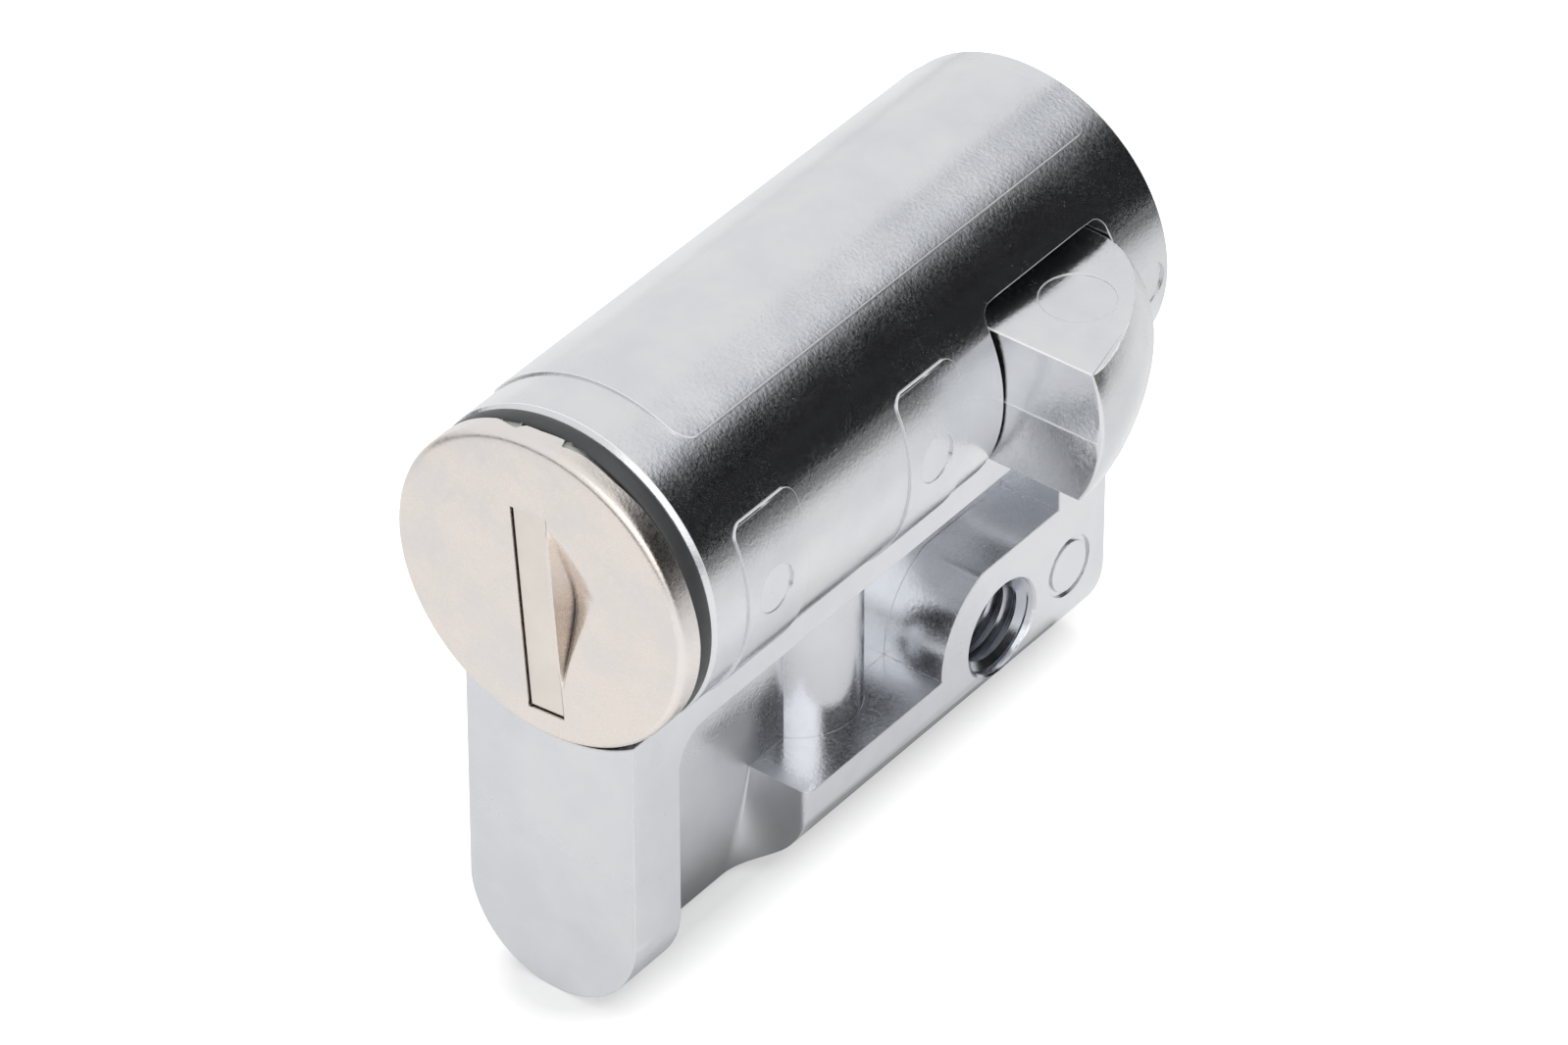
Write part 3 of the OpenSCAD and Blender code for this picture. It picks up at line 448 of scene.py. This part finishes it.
# Face cap. Thin stainless sheet drawn over the plug's head, with the key slot pierced in it and a
# scoop pressed in beside the slot. Its rim is drawn back round the head and has two nicks.
CAP_FRONT, CAP_R, CAP_EDGE = -0.62, 8.47, 0.4
CAP_SHEET, CAP_ROUNDING, CAP_HARD = 0.28, 0.045, 50
RIM_BAND, CUT_MARGIN, TOUCH = 0.6, 0.02, 0.00001
FLAT_R = CAP_R - CAP_EDGE
BLANK_HALF, BLANK_STEPS = 8.6, 104
BEND_STEPS, RIM_STEPS = 6, 4
# the slot's sides, in a frame that leans with the slot by this many degrees
SLOT_LEAN = 4.5
SLOT_LEFT, SLOT_RIGHT, SLOT_LOW, SLOT_TOP = -1.265, 0.885, -7.06, 4.38
# along the slot: how deep the press pushes the sheet in, and how far to the side the scoop reaches
SCOOP_DEPTH = ((-5.5, 0), (-4.66, 0.33), (-3.6, 0.82), (-2.5, 1.27), (-1.7, 1.52), (-1.08, 1.6),
               (-0.4, 1.55), (0.2, 1.4), (1.7, 0.9), (3.13, 0.34), (4.0, 0))
SCOOP_REACH = ((-5.5, 0.05), (-3.7, 0.6), (-1.95, 1.33), (-0.4, 2.1), (0.63, 2.62), (0.9, 2.6),
               (1.7, 2.25), (2.4, 1.75), (3.13, 1.1), (4.0, 0.1))
SCOOP_FALL = 1.15
# the rim's rear edge as the trimming left it, by its angle above the cam's side
RIM_TRIM = ((-180, 0.7), (-30, 0.74), (0, 0.74), (17, 0.65), (52, 0.62), (60, 0.5), (64, 0.44),
            (72, 0.47), (77, 0.45), (82, 0.3), (84.2, 0.17), (84.5, 0.66), (93, 0.5), (99.9, 0.52),
            (100.6, 0.36), (101.9, 0.14), (105, 0.26), (108, 0.42), (112, 0.64), (127, 0.78), (180, 0.7))
cap_satin = metal("cap_satin", bright=(0.89, 0.815, 0.755), dull=(0.83, 0.795, 0.775), shine=(0.24, 0.4),
                  pebble=(0.16, 0.01), swell=(3.0, 0.04), hollow_shade=0.9, grain=0.03)
in_plug = (Matrix.Scale(MM, 4) @ Matrix.Translation((0, -HOLE_Y, HOLE_DROP))
           @ Matrix.Rotation(math.radians(-SLOT_LEAN), 4, "Y"))


def along(points, t):
    """The value at t on a line through points given as (t, value), held at both ends."""
    if t <= points[0][0]:
        return points[0][1]
    for (t0, v0), (t1, v1) in zip(points, points[1:]):
        if t <= t1:
            return v0 + (v1 - v0) * (t - t0) / (t1 - t0)
    return points[-1][1]


def scoop_depth(x, z):
    """How far the press pushes the sheet in beside the slot, at x and z in mm."""
    share = (x - SLOT_RIGHT) / along(SCOOP_REACH, z)
    return along(SCOOP_DEPTH, z) * (1 - share) ** SCOOP_FALL if 0 <= share < 1 else 0.0


def reach_of(vert):
    return math.hypot(vert.co.x, vert.co.z)


def set_reach(vert, radius):
    """Moves a vertex straight out from the plug's axis, or in."""
    grow = radius / reach_of(vert)
    vert.co.x, vert.co.z = vert.co.x * grow, vert.co.z * grow


def in_slot(face):
    middle = face.calc_center_median()
    return SLOT_LEFT < middle.x < SLOT_RIGHT and SLOT_LOW < middle.z < SLOT_TOP


bm = bmesh.new()
bmesh.ops.create_grid(bm, x_segments=BLANK_STEPS, y_segments=BLANK_STEPS, size=BLANK_HALF)
bmesh.ops.rotate(bm, verts=bm.verts, cent=(0, 0, 0), matrix=Matrix.Rotation(math.radians(90), 3, "X"))
bmesh.ops.translate(bm, verts=bm.verts, vec=(0, CAP_FRONT, 0))
for spot, way in (((SLOT_LEFT, 0, 0), (1, 0, 0)), ((SLOT_RIGHT, 0, 0), (1, 0, 0)),
                  ((0, 0, SLOT_LOW), (0, 0, 1)), ((0, 0, SLOT_TOP), (0, 0, 1))):
    bmesh.ops.bisect_plane(bm, geom=bm.verts[:] + bm.edges[:] + bm.faces[:], plane_co=spot, plane_no=way,
                           dist=TOUCH)
waste = [face for face in bm.faces
         if in_slot(face) or any(reach_of(vert) > FLAT_R - CUT_MARGIN for vert in face.verts)]
bmesh.ops.delete(bm, geom=waste, context="FACES")
rim = [edge for edge in bm.edges
       if edge.is_boundary and all(reach_of(vert) > FLAT_R - RIM_BAND for vert in edge.verts)]
for vert in {vert for edge in rim for vert in edge.verts}:
    set_reach(vert, FLAT_R)
for step in range(1, BEND_STEPS + RIM_STEPS + 1):
    # first round the bend, then straight back to the trimmed edge
    bend = math.radians(min(step, BEND_STEPS) * 90 / BEND_STEPS)
    pulled = bmesh.ops.extrude_edge_only(bm, edges=rim)["geom"]
    rim = [part for part in pulled if isinstance(part, bmesh.types.BMEdge)]
    for vert in {part for part in pulled if isinstance(part, bmesh.types.BMVert)}:
        set_reach(vert, FLAT_R + CAP_EDGE * math.sin(bend))
        start = CAP_FRONT + CAP_EDGE * (1 - math.cos(bend))
        angle = (math.degrees(math.atan2(vert.co.z, vert.co.x)) + SLOT_LEAN + 180) % 360 - 180
        vert.co.y = start + (along(RIM_TRIM, angle) - start) * max(step - BEND_STEPS, 0) / RIM_STEPS
for vert in bm.verts:
    if abs(vert.co.y - CAP_FRONT) < TOUCH:
        vert.co.y += scoop_depth(vert.co.x, vert.co.z)
turn_to(bm, lambda middle: Vector((0, -1, 0)))
shade(bm)
bmesh.ops.transform(bm, matrix=in_plug, verts=bm.verts)
cap_sheet = piece_from(bm, "cap_sheet", cap_satin)
walled(cap_sheet, CAP_SHEET)
round_off(cap_sheet, CAP_ROUNDING, angle=CAP_HARD)
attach(cap_sheet, "plug")
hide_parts("face_cap")


# Torn inner edge of the cap. Behind the two nicks the sheet's own edge shows, torn off unevenly and
# standing out a little, with a duller skin than the cap's face.
TORN_R, TORN_FROM, TORN_SWEEP, TORN_STEPS = 8.17, 58, 58, 116
TORN_FRONT, TORN_MIDDLE, TORN_BACK = 0.1, 0.35, 0.6
TORN_SHEET, TORN_FLARE = 0.1, 0.02
# the torn sheet's rear edge, by the same angle
TORN_EDGE = ((58, 0.5), (64, 0.62), (73, 0.66), (78, 0.8), (81.8, 0.93), (84.4, 0.74), (85, 0.4),
             (100, 0.4), (102.5, 0.6), (103.5, 0.92), (107, 0.95), (111.2, 0.93), (113, 0.6), (116, 0.45))
torn_steel = metal("torn_steel", bright=(0.62, 0.63, 0.57), dull=(0.45, 0.46, 0.42), shine=(0.3, 0.45),
                   pebble=(0.1, 0.006), swell=(1.0, 0.01), edge_r=0.03, hollow_shade=0.3)
bm = bmesh.new()
start = math.radians(TORN_FROM)
strip = chain(bm, [(TORN_R * math.cos(start), y, TORN_R * math.sin(start))
                   for y in (TORN_FRONT, TORN_MIDDLE, TORN_BACK)])
bmesh.ops.spin(bm, geom=strip, cent=(0, 0, 0), axis=(0, -1, 0), angle=math.radians(TORN_SWEEP),
               steps=TORN_STEPS, use_merge=False, use_duplicate=False)
for vert in bm.verts:
    back = along(TORN_EDGE, math.degrees(math.atan2(vert.co.z, vert.co.x)))
    depth = (vert.co.y - TORN_FRONT) / (TORN_BACK - TORN_FRONT)
    vert.co.y = TORN_FRONT + (back - TORN_FRONT) * depth
    set_reach(vert, reach_of(vert) * (1 + TORN_FLARE * depth * depth))
bmesh.ops.rotate(bm, verts=bm.verts, cent=(0, 0, 0), matrix=Matrix.Rotation(math.radians(SLOT_LEAN), 3, "Y"))
turn_to(bm, lambda middle: Vector((middle.x, 0, middle.z)))
shade(bm)
bmesh.ops.transform(bm, matrix=in_plug, verts=bm.verts)
inner_edge = piece_from(bm, "cap_inner_edge", torn_steel)
walled(inner_edge, TORN_SHEET)
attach(inner_edge, "plug")


# Retaining pin. A ground steel pin, driven up through the web and the post into the plug's groove. It
# lets the plug turn and keeps it from being pulled out.
dress("retaining_pin", ground_steel)


# Cam. A plated casting keyed to the plug's tail, held by a washer and a cross-head screw. The parting
# line of its die stands up a little across the front face.
# the line crosses the front flank, ahead of FLANK_END and level with the plug's axis
FLANK_END = 24.1
LINE_HALF, LINE_HEIGHT = 0.05, 0.04
CAM_ROUNDING = 0.07
# its rubbed edges carry the full painted highlight, and its hollows a strong painted shade
cam_plating = metal("cam_plating", bright=(0.78, 0.79, 0.81), dull=(0.72, 0.735, 0.765), shine=(0.16, 0.26),
                    pebble=(0.2, 0.007), swell=(2.4, 0.012), edge_r=0.08, edge=1.0, hollow_shade=0.7, grain=0.06)


def on_parting(vert):
    x, y, z = from_axis(vert)
    return abs(z) < 2 * SNAP and y < FLANK_END


bm = merged("cam")
share = rounding_of(bm)
parting = [edge for edge in bm.edges if all(on_parting(vert) for vert in edge.verts)]
raised = bmesh.ops.bevel(bm, geom=parting, offset=LINE_HALF * MM, segments=2, profile=0.5, material=-1,
                         affect="EDGES", clamp_overlap=True)
for vert in raised["verts"]:
    if abs(from_axis(vert)[2]) < SNAP:
        vert.co.y -= LINE_HEIGHT * MM
for edge in {edge for face in raised["faces"] for edge in face.edges}:
    edge.smooth = False
    edge[share] = 0.0
cam_lug = piece_from(bm, "cam_lug", cam_plating, rubbed_highlit_plating)
round_off(cam_lug, CAM_ROUNDING, rubbed_and_highlit=1, clamp=False)
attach(cam_lug, "plug")
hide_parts("cam")
dress("cam_washer", ground_steel)
dress("cam_screw", ground_steel)


# Table and tent. A white cloth on a round table under a white tent, as for a catalogue picture. In the
# metal the table shows painted shade, darker towards the room, behind the piece and beside the web; the camera
# sees it white, with the piece's shadow and a painted shadow close under the web.
FLOOR_Z, TABLE_R, TABLE_STEPS = -5.8 * MM, 3.0, 96
TO_ROOM, TO_REAR = (-0.48, -0.875, 0), (0.61, 0.79, 0)
# the table's levels in the metal, each between two distances in metres: painted light and shade on the table as
# the metal sees it
ROOM_SIDE, ROOM_LEVELS = (0.075, 0.18), (0.665, 0.09)
NEAR_REAR, NEAR_REAR_LEVELS = (0.012, 0.04), (1.0, 0.82)
FAR_REAR, FAR_REAR_LEVELS = (0.07, 0.3), (1.0, 0.12)
CAM_SIDE, CAM_SIDE_LEVELS = (0.0, 0.005), (0.97, 1.1)
BESIDE_WEB, BESIDE_WEB_LEVELS = (0.003, 0.0058), (0.3, 1.0)
CLOTH_GREY, GLOW = 0.5, 0.36
# the painted shadow that the camera sees: the table's own glow is weaker near a line under the web, by the
# distance from it; the line's middle lies ahead of the hole, and in the metal the distance past its ends counts
# more
PAINTED_SHADOW, PAINTED_SHADOW_LEVELS = (0.0025, 0.0065), (0.45, 0.95)
WEB_MIDDLE, WEB_LINE_HALF, END_STRETCH = 0.0103, 0.0175, 8.0
TENT_LEVEL, TENT_IN_METAL = 0.9, 0.88


def lit_cloth(name):
    """A new material for the set, with nothing in it yet but its output."""
    mat = bpy.data.materials.new(name)
    mat.use_nodes = True
    mat.node_tree.nodes.remove(mat.node_tree.nodes["Principled BSDF"])
    return mat


def surface(mat, node):
    mat.node_tree.links.new(node.outputs[0], mat.node_tree.nodes["Material Output"].inputs["Surface"])


def flat_distance(tree, x, y):
    """Length of the way (x, y) on the table."""
    way = wired(tree, "ShaderNodeCombineXYZ", X=x, Y=y)
    length = wired(tree, "ShaderNodeVectorMath", Vector=way.outputs[0])
    length.operation = "LENGTH"
    return length.outputs["Value"]


def table_finish():
    """White cloth, lit from itself on camera rays so that it comes out white; close under the web the glow is
    weaker, painting the shadow darker, and in the metal it shows painted light and shade.
    """
    mat = lit_cloth("table_white")
    tree = mat.node_tree
    seen = tree.nodes.new("ShaderNodeLightPath").outputs
    place = in_space(tree)
    parts = wired(tree, "ShaderNodeSeparateXYZ", Vector=place).outputs
    # painted shade seen in the metal: dark towards the room on the camera's side, and further off behind the
    # piece; a little painted light on the side where x is positive
    rear = dot(tree, place, TO_REAR)
    room_side = ramp(tree, dot(tree, place, TO_ROOM), ROOM_SIDE, ROOM_LEVELS)
    rear_side = maths(tree, "MULTIPLY", ramp(tree, rear, NEAR_REAR, NEAR_REAR_LEVELS),
                      ramp(tree, rear, FAR_REAR, FAR_REAR_LEVELS))
    cam_side = ramp(tree, parts["X"], CAM_SIDE, CAM_SIDE_LEVELS)
    open_table = maths(tree, "MULTIPLY", room_side, maths(tree, "MULTIPLY", rear_side, cam_side))
    # and painted shade beside the web, standing in for the shade round the piece's foot
    off_middle = maths(tree, "ABSOLUTE", maths(tree, "ADD", parts["Y"], WEB_MIDDLE))
    past_end = maths(tree, "MAXIMUM", maths(tree, "SUBTRACT", off_middle, WEB_LINE_HALF), 0.0)
    beside = flat_distance(tree, parts["X"], maths(tree, "MULTIPLY", past_end, END_STRETCH))
    level = maths(tree, "MULTIPLY", open_table, ramp(tree, beside, BESIDE_WEB, BESIDE_WEB_LEVELS))
    cloth = wired(tree, "ShaderNodeBsdfDiffuse", Color=mixed(tree, seen["Is Glossy Ray"], CLOTH_GREY, level))
    glow = maths(tree, "MULTIPLY", maths(tree, "MULTIPLY", seen["Is Glossy Ray"], level), GLOW)
    # seen by the camera: white, with only the shadow close under the web left; there the glow is weaker, which
    # paints the shadow darker
    clear = ramp(tree, flat_distance(tree, parts["X"], past_end), PAINTED_SHADOW, PAINTED_SHADOW_LEVELS)
    lift = maths(tree, "MULTIPLY_ADD", seen["Is Camera Ray"], clear, glow)
    own = wired(tree, "ShaderNodeEmission", Color=(1, 1, 1, 1), Strength=lift)
    both = tree.nodes.new("ShaderNodeAddShader")
    fill(tree, both.inputs[0], cloth.outputs[0])
    fill(tree, both.inputs[1], own.outputs[0])
    surface(mat, both)
    return mat


bm = bmesh.new()
bmesh.ops.create_circle(bm, cap_ends=True, segments=TABLE_STEPS, radius=TABLE_R,
                        matrix=Matrix.Translation((0, 0, FLOOR_Z)))
piece_from(bm, "table", table_finish())

tent = bpy.data.worlds.new("tent")
tent.use_nodes = True
bpy.context.scene.world = tent
tree = tent.node_tree
seen = tree.nodes.new("ShaderNodeLightPath").outputs
white = maths(tree, "MAXIMUM", seen["Is Camera Ray"], seen["Is Transmission Ray"])
plain = ramp(tree, seen["Is Glossy Ray"], (0.0, 1.0), (TENT_LEVEL, TENT_IN_METAL))
background = tree.nodes["Background"].inputs
background["Color"].default_value = (1, 1, 1, 1)
fill(tree, background["Strength"], mixed(tree, white, plain, 1.0))


# Screen, umbrella and lamp. A curved dark screen at the rear right and a lit white umbrella behind
# the camera show only in the metal, as the dark band along the barrel and as bright lines on what
# faces the camera. One large soft lamp hangs overhead. Sizes in metres.
SCREEN_R, SCREEN_FOOT, SCREEN_TOP = 1.0, 0.03, 1.2
SCREEN_FROM, SCREEN_SWEEP, SCREEN_STEPS = -25, 130, 40
# the hem's height, and the tent's level and colour above it
HEM = (0.97, 1.12)
TENT_ABOVE, TENT_COLOUR = 0.95, (0.95, 0.97, 1.0, 1)
# the cloth's upright folds: their size in mm, and the noise and levels they lie between
FOLD, FOLD_STRETCH = 90.0, (1, 1, 0.35)
FOLD_NOISE, FOLD_LEVELS = (0.35, 0.65), (0.0, 0.03)
# the umbrella's ribs, in degrees from the line to the camera, and its levels from edge to middle
TO_CAMERA = Vector((0.479448, -0.622109, 0.618959))
RIB_SPREAD, RIB_STEP, RIBS, RIB_WELD = 33, 3, 32, 0.0001
UMBRELLA_EDGE, UMBRELLA_LEVELS = (0.83, 0.92), (0.88, 1.4)
LAMP_PLACE, LAMP_SIZE, LAMP_WATT = (-0.25, 0.15, 0.75), (0.7, 0.5), 1.2


def only_in_metal(prop):
    """Sets a prop up so that it shows in reflections and nowhere else."""
    prop.visible_camera = False
    prop.visible_diffuse = False
    prop.visible_shadow = False
    prop.visible_transmission = False


def screen_finish():
    """Dark cloth whose upper hem fades into the white of the tent."""
    mat = lit_cloth("screen_dark")
    tree = mat.node_tree
    place = in_space(tree)
    height = wired(tree, "ShaderNodeSeparateXYZ", Vector=place).outputs["Z"]
    folds = cloud(tree, place, FOLD, stretch=FOLD_STRETCH)
    cloth = ramp(tree, folds, FOLD_NOISE, FOLD_LEVELS)
    level = mixed(tree, ramp(tree, height, HEM), cloth, TENT_ABOVE)
    surface(mat, wired(tree, "ShaderNodeEmission", Color=TENT_COLOUR, Strength=level))
    return mat


def umbrella_finish():
    """White cloth, brightest in the middle."""
    mat = lit_cloth("umbrella_white")
    tree = mat.node_tree
    level = ramp(tree, dot(tree, in_space(tree), TO_CAMERA), UMBRELLA_EDGE, UMBRELLA_LEVELS)
    surface(mat, wired(tree, "ShaderNodeEmission", Strength=level))
    return mat


bm = bmesh.new()
turn = math.radians(SCREEN_FROM)
post = chain(bm, [(SCREEN_R * math.cos(turn), SCREEN_R * math.sin(turn), z)
                  for z in (SCREEN_FOOT, SCREEN_TOP)])
bmesh.ops.spin(bm, geom=post, cent=(0, 0, 0), axis=(0, 0, 1), angle=math.radians(SCREEN_SWEEP),
               steps=SCREEN_STEPS, use_merge=False, use_duplicate=False)
only_in_metal(piece_from(bm, "screen", screen_finish()))

bm = bmesh.new()
rib = chain(bm, [(math.sin(math.radians(angle)), 0, math.cos(math.radians(angle)))
                 for angle in range(0, RIB_SPREAD + 1, RIB_STEP)])
bmesh.ops.spin(bm, geom=rib, cent=(0, 0, 0), axis=(0, 0, 1), angle=math.radians(360), steps=RIBS,
               use_merge=True, use_duplicate=False)
bmesh.ops.remove_doubles(bm, verts=bm.verts, dist=RIB_WELD)
bmesh.ops.transform(bm, matrix=TO_CAMERA.to_track_quat("Z", "Y").to_matrix().to_4x4(), verts=bm.verts)
only_in_metal(piece_from(bm, "umbrella", umbrella_finish()))

lamp_data = bpy.data.lights.new("soft lamp", "AREA")
lamp_data.shape = "RECTANGLE"
lamp_data.size, lamp_data.size_y = LAMP_SIZE
lamp_data.energy = LAMP_WATT
lamp = bpy.data.objects.new("soft lamp", lamp_data)
bpy.context.scene.collection.objects.link(lamp)
lamp.visible_glossy = False
lamp.location = LAMP_PLACE
lamp.rotation_euler = (-lamp.location).to_track_quat("-Z", "Y").to_euler()


# Camera. Solved from the photograph's edges on the standard profile's sizes; it looks down on the
# key slot from the cam's side with a long lens.
LENS, SENSOR = 214.45, 36
SHIFT, CLIP = (0.0006, -0.001), (0.01, 20)
CAMERA_PLACE = (0.213796, -0.288534, 0.287334)
camera_data = bpy.data.cameras.new("camera")
camera_data.sensor_width = SENSOR
camera_data.sensor_fit = "HORIZONTAL"
camera_data.lens = LENS
camera_data.shift_x, camera_data.shift_y = SHIFT
camera_data.clip_start, camera_data.clip_end = CLIP
camera = bpy.data.objects.new("camera", camera_data)
bpy.context.scene.collection.objects.link(camera)
camera.location = CAMERA_PLACE
camera.rotation_euler = TO_CAMERA.to_track_quat("Z", "Y").to_euler()
bpy.context.scene.camera = camera
bpy.context.scene.view_settings.view_transform = "Standard"
